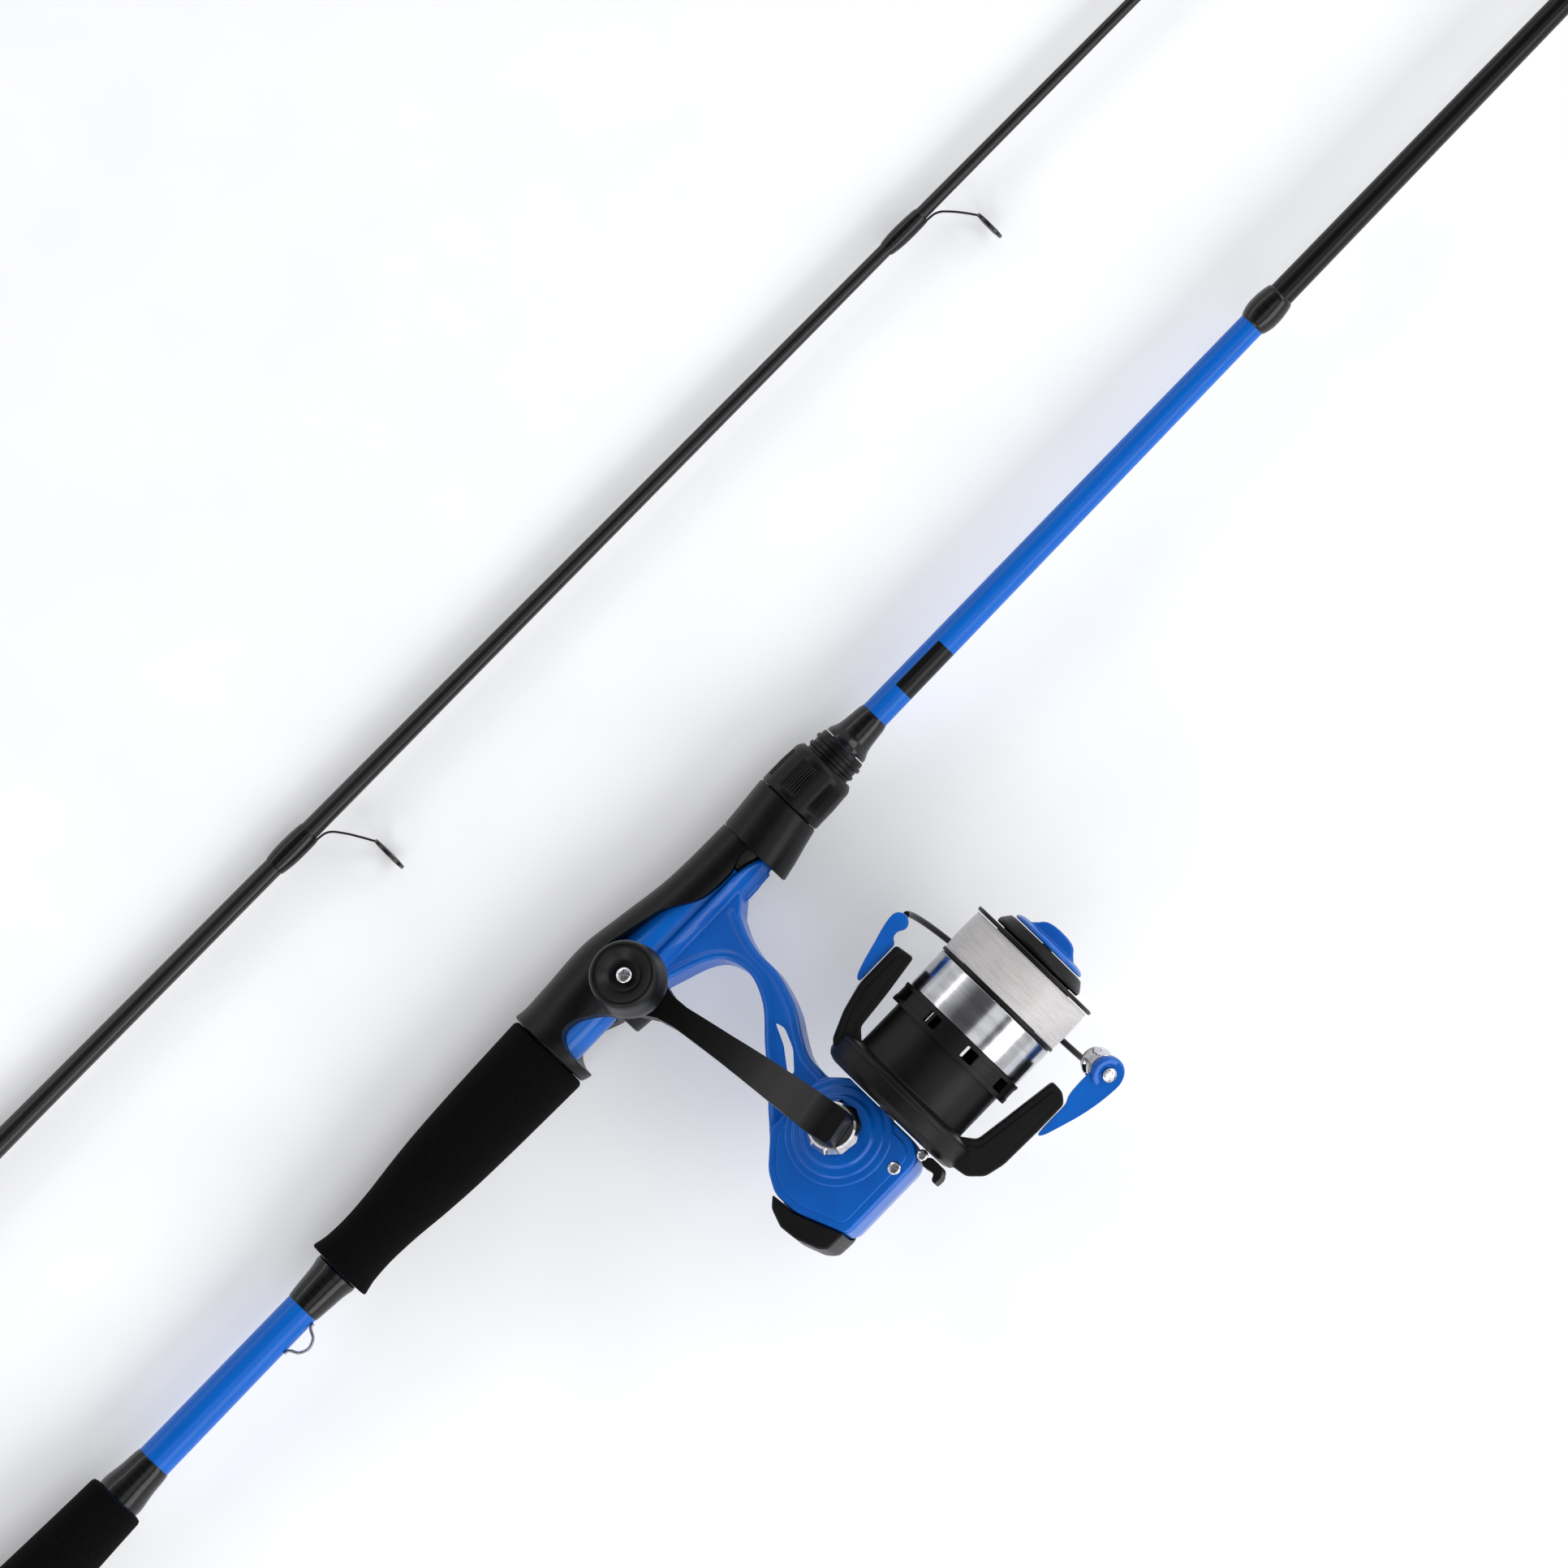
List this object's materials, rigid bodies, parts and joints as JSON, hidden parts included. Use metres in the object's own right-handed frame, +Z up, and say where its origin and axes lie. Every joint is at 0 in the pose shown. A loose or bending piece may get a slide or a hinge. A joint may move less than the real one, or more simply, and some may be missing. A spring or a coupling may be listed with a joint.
{
  "type": "fishing rod and reel",
  "caption": "Two-piece spinning rod with foam grips, wire guides and a screw-down seat that holds an open-face reel with a folding bail and a side crank.",
  "frame": {"origin": "centre of the whole part's footprint, on the surface that it lies on", "axes": "+X along the rod towards the tip, +Z up; the reel is on the -Y side of the butt section and the tip section lies on its +Y side"},
  "size_m": [1.1682, 0.2405, 0.1002],
  "materials": {
    "rubber": "matte",
    "black_foam": "matte",
    "black_gloss": "gloss",
    "blank_blue": "gloss",
    "sleeve_blue": "gloss",
    "blank_black": "satin",
    "guide_metal": "satin",
    "ceramic": "polished",
    "black_plastic": "satin",
    "reel_blue": "gloss",
    "black_metal": "satin",
    "chrome": "polished",
    "steel": "satin",
    "brass": "satin",
    "nylon_line": "satin"
  },
  "bodies": {
    "butt_section": {"butt_cap": "rubber", "rear_grip": "black_foam", "rear_winding": "black_gloss", "butt_blank": "blank_blue", "hook_keeper": "guide_metal", "fore_winding": "black_gloss", "fore_grip": "black_foam", "reel_seat": "black_plastic", "seat_sleeve": "sleeve_blue", "seat_winding": "black_gloss", "joint_winding": "black_gloss", "stripper_frame": "guide_metal", "stripper_ring": "ceramic", "stripper_winding_rear": "black_gloss", "stripper_winding_front": "black_gloss", "reel_body": "reel_blue", "side_cover": "reel_blue", "rear_cover": "black_plastic", "cover_screw": "chrome", "crank_bearing": "steel"},
    "tip_section": {"tip_blank": "blank_black", "ferrule_winding": "black_gloss", "guide_1_frame": "guide_metal", "guide_1_ring": "ceramic", "guide_1_winding": "black_gloss", "guide_2_frame": "guide_metal", "guide_2_ring": "ceramic", "guide_2_winding": "black_gloss", "guide_3_frame": "guide_metal", "guide_3_winding": "black_gloss", "guide_4_frame": "guide_metal", "guide_4_winding": "black_gloss", "tip_top": "guide_metal"},
    "hood": {"moving_hood": "black_plastic"},
    "nut": {"locking_nut": "black_plastic"},
    "crank": {"drive_gear": "brass", "crank_collar": "chrome", "shaft_cap": "black_plastic", "crank_arm": "black_metal", "knob_spindle": "steel", "knob_screw": "chrome"},
    "knob": {"knob": "black_plastic"},
    "anti_reverse": {"anti_reverse_lever": "black_plastic"},
    "oscillator": {"oscillation_gear": "black_plastic"},
    "carriage": {"main_shaft": "steel", "crosswind_block": "brass"},
    "rotor": {"rotor": "black_plastic", "pinion": "brass"},
    "bail": {"bail_lever": "reel_blue", "bail_arm": "reel_blue", "bail_wire": "black_metal", "roller_screw": "chrome"},
    "line_roller": {"line_roller": "chrome"},
    "spool": {"spool": "black_metal", "spool_band": "chrome", "line_winding": "nylon_line", "drag_washer": "steel"},
    "drag_knob": {"drag_knob": "black_metal", "drag_grip": "reel_blue"}
  },
  "joints": [
    {"name": "tip_section_lift", "type": "slide", "parent": "butt_section", "child": "tip_section", "axis": [0, 0, 1], "range_m": [0, 0.3]},
    {"name": "nut_turn", "type": "hinge", "parent": "hood", "child": "nut", "pos_m": [-0.1521, 0.0124, 0.015], "axis": [1, 0, 0], "range_deg": [0, 1080]},
    {"name": "hood_slide", "type": "slide", "parent": "butt_section", "child": "hood", "axis": [1, 0, 0], "range_m": [0, 0.006]},
    {"name": "crank_turn", "type": "hinge", "parent": "butt_section", "child": "crank", "pos_m": [-0.2221, -0.07071, 0.04362], "axis": [0, -0.3256, -0.9455], "continuous": true},
    {"name": "knob_spin", "type": "hinge", "parent": "crank", "child": "knob", "pos_m": [-0.23261, -0.01198, 0.02339], "axis": [0, 0.3256, 0.9455], "continuous": true},
    {"name": "rotor_spin", "type": "hinge", "parent": "butt_section", "child": "rotor", "pos_m": [-0.2221, -0.07506, 0.04512], "axis": [1, 0, 0], "continuous": true},
    {"name": "oscillator_turn", "type": "hinge", "parent": "butt_section", "child": "oscillator", "pos_m": [-0.2356, -0.07033, 0.04349], "axis": [0, -0.3256, -0.9455], "continuous": true},
    {"name": "spool_slide", "type": "slide", "parent": "butt_section", "child": "carriage", "axis": [1, 0, 0], "range_m": [-0.012, 0]},
    {"name": "spool_turn", "type": "hinge", "parent": "carriage", "child": "spool", "pos_m": [-0.2221, -0.07506, 0.04512], "axis": [1, 0, 0], "continuous": true},
    {"name": "drag_knob_turn", "type": "hinge", "parent": "carriage", "child": "drag_knob", "pos_m": [-0.2221, -0.07506, 0.04512], "axis": [1, 0, 0], "range_deg": [-720, 720]},
    {"name": "bail_flip", "type": "hinge", "parent": "rotor", "child": "bail", "pos_m": [-0.1771, -0.07506, 0.04512], "axis": [0, -1, 0], "range_deg": [0, 110]},
    {"name": "line_roller_spin", "type": "hinge", "parent": "bail", "child": "line_roller", "pos_m": [-0.1519, -0.11206, 0.04392], "axis": [0, -0.5, 0.866], "continuous": true},
    {"name": "anti_reverse_switch", "type": "hinge", "parent": "butt_section", "child": "anti_reverse", "pos_m": [-0.2093, -0.09347, 0.05463], "axis": [1, 0, 0], "range_deg": [0, 25]}
  ],
  "couplings": [
    {"joint": "rotor_spin", "follows": "crank_turn", "ratio": 5},
    {"joint": "oscillator_turn", "follows": "crank_turn", "ratio": -0.5},
    {"joint": "hood_slide", "follows": "nut_turn", "m_per_rad": 0.000318}
  ]
}
